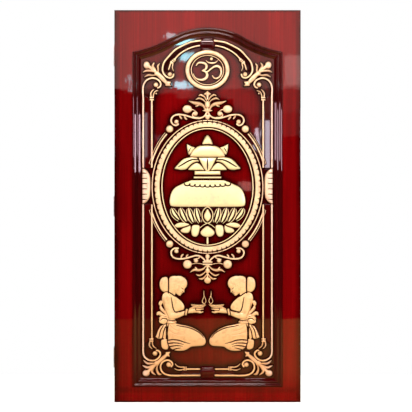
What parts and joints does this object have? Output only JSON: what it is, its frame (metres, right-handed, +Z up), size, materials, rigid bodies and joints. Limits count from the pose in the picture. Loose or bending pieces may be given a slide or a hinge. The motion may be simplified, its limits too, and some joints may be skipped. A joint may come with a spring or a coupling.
{
  "type": "carved temple door",
  "caption": "Hinged wooden door leaf with an arched framed panel and applied gold carvings of a sacred sign, pot, lotus and lamp bearers.",
  "frame": {"origin": "middle of the leaf's flat bottom edge, halfway through its thickness", "axes": "+X across the leaf towards the free edge, +Y out of the plain back, which is the side the leaf opens to, with the carved face looking along -Y, +Z up"},
  "size_m": [0.9725, 0.0635, 2.032],
  "materials": {
    "red_lacquer": "straight-grained hardwood under a clear red stain and high-gloss lacquer",
    "dark_lacquer": "the same hardwood, stained darker, under high-gloss lacquer",
    "gold_paint": "carved wood painted a pale satin gold on its high parts, with dark stain in the cuts",
    "hinge_steel": "satin nickel-plated steel"
  },
  "bodies": {
    "hinges": {"hinge_frame_plate_lower": "hinge_steel", "hinge_frame_plate_middle": "hinge_steel", "hinge_frame_plate_upper": "hinge_steel", "hinge_pin_lower": "hinge_steel", "hinge_pin_middle": "hinge_steel", "hinge_pin_upper": "hinge_steel"},
    "leaf": {"stile_left": "red_lacquer", "stile_right": "red_lacquer", "top_rail": "red_lacquer", "bottom_rail": "red_lacquer", "tenon_pegs": "red_lacquer", "panel": "red_lacquer", "moulding_left": "dark_lacquer", "moulding_right": "dark_lacquer", "moulding_bottom": "dark_lacquer", "moulding_arch": "dark_lacquer", "back_bead_left": "red_lacquer", "back_bead_right": "red_lacquer", "back_bead_bottom": "red_lacquer", "back_bead_arch": "red_lacquer", "arch_ribbon_left": "gold_paint", "arch_ribbon_right": "gold_paint", "keystone_top": "dark_lacquer", "om_ring": "gold_paint", "om_sign": "gold_paint", "side_scroll_upper_left": "gold_paint", "side_scroll_upper_right": "gold_paint", "side_scroll_lower_left": "gold_paint", "side_scroll_lower_right": "gold_paint", "side_shell_left": "gold_paint", "side_shell_right": "gold_paint", "bottom_ribbon_left": "gold_paint", "bottom_ribbon_right": "gold_paint", "keystone_bottom": "dark_lacquer", "corner_leaf_top_left": "gold_paint", "corner_leaf_top_right": "gold_paint", "corner_leaf_bottom_left": "gold_paint", "corner_leaf_bottom_right": "gold_paint", "oval_frame": "gold_paint", "bosses": "gold_paint", "crest": "gold_paint", "pendant": "gold_paint", "coconut": "gold_paint", "mango_leaves": "gold_paint", "pot_neck": "gold_paint", "pot_body": "gold_paint", "lotus_petals": "gold_paint", "lotus_base": "gold_paint", "lotus_stem": "gold_paint", "worshipper_left": "gold_paint", "worshipper_right": "gold_paint", "lamp_left": "gold_paint", "lamp_right": "gold_paint", "hinge_door_plate_lower": "hinge_steel", "hinge_door_plate_middle": "hinge_steel", "hinge_door_plate_upper": "hinge_steel", "hinge_screws": "hinge_steel"}
  },
  "joints": [
    {"name": "door_swing", "type": "hinge", "parent": "hinges", "child": "leaf", "pos_m": [-0.4835, 0.026, 0], "axis": [0, 0, 1], "range_deg": [0, 110]}
  ]
}
